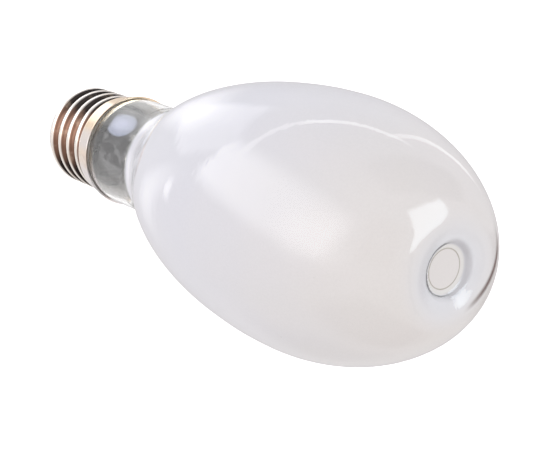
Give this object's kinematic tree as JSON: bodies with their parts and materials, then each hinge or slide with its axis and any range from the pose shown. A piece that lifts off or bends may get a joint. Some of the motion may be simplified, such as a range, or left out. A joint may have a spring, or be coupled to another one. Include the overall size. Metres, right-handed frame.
{
  "type": "grow lamp",
  "caption": "Elliptical high-pressure discharge grow lamp: opal-coated glass with a dimpled crown, clear mirrored neck and a large screw cap.",
  "frame": {"origin": "centre of the end contact's flat face, at the bottom of the cap", "axes": "+Z along the lamp from the cap to the crown; the frame rod stands on the +X side"},
  "size_m": [0.09, 0.09, 0.226],
  "materials": {
    "clear_glass": "clear, glossy",
    "opal_coating": "fine white powder film, matt",
    "getter_mirror": "dark evaporated metal mirror",
    "nickel_plate": "bright nickel plate on brass",
    "black_glass": "moulded glass, glossy black",
    "contact_brass": "rolled brass",
    "solder": "dull tin alloy",
    "cement": "baked basing cement, matt",
    "lead_nickel": "drawn nickel",
    "alumina": "translucent sintered alumina",
    "seal_frit": "sealing frit",
    "niobium": "drawn niobium",
    "tungsten": "dark grey emitter-coated tungsten",
    "amalgam": "sodium amalgam, bright",
    "frame_steel": "nickel-plated steel",
    "getter_steel": "stainless, heat tinted"
  },
  "bodies": {
    "root": {"outer_bulb": "clear_glass", "inner_coating": "opal_coating", "getter_film": "getter_mirror", "screw_shell": "nickel_plate", "cap_insulator": "black_glass", "centre_contact": "contact_brass", "contact_solder": "solder", "side_weld": "solder", "basing_cement": "cement", "stem": "clear_glass", "exhaust_tube": "clear_glass", "centre_lead": "lead_nickel", "side_lead": "lead_nickel", "arc_tube": "alumina", "end_plugs": "alumina", "seal_rings": "seal_frit", "feedthroughs": "niobium", "electrodes": "tungsten", "electrode_coils": "tungsten", "amalgam_bead": "amalgam", "frame_rod": "frame_steel", "crown_loop": "frame_steel", "lower_bracket": "frame_steel", "upper_bracket": "frame_steel", "expansion_ribbon": "lead_nickel", "getter_rings": "getter_steel", "getter_wires": "getter_steel"}
  },
  "joints": []
}
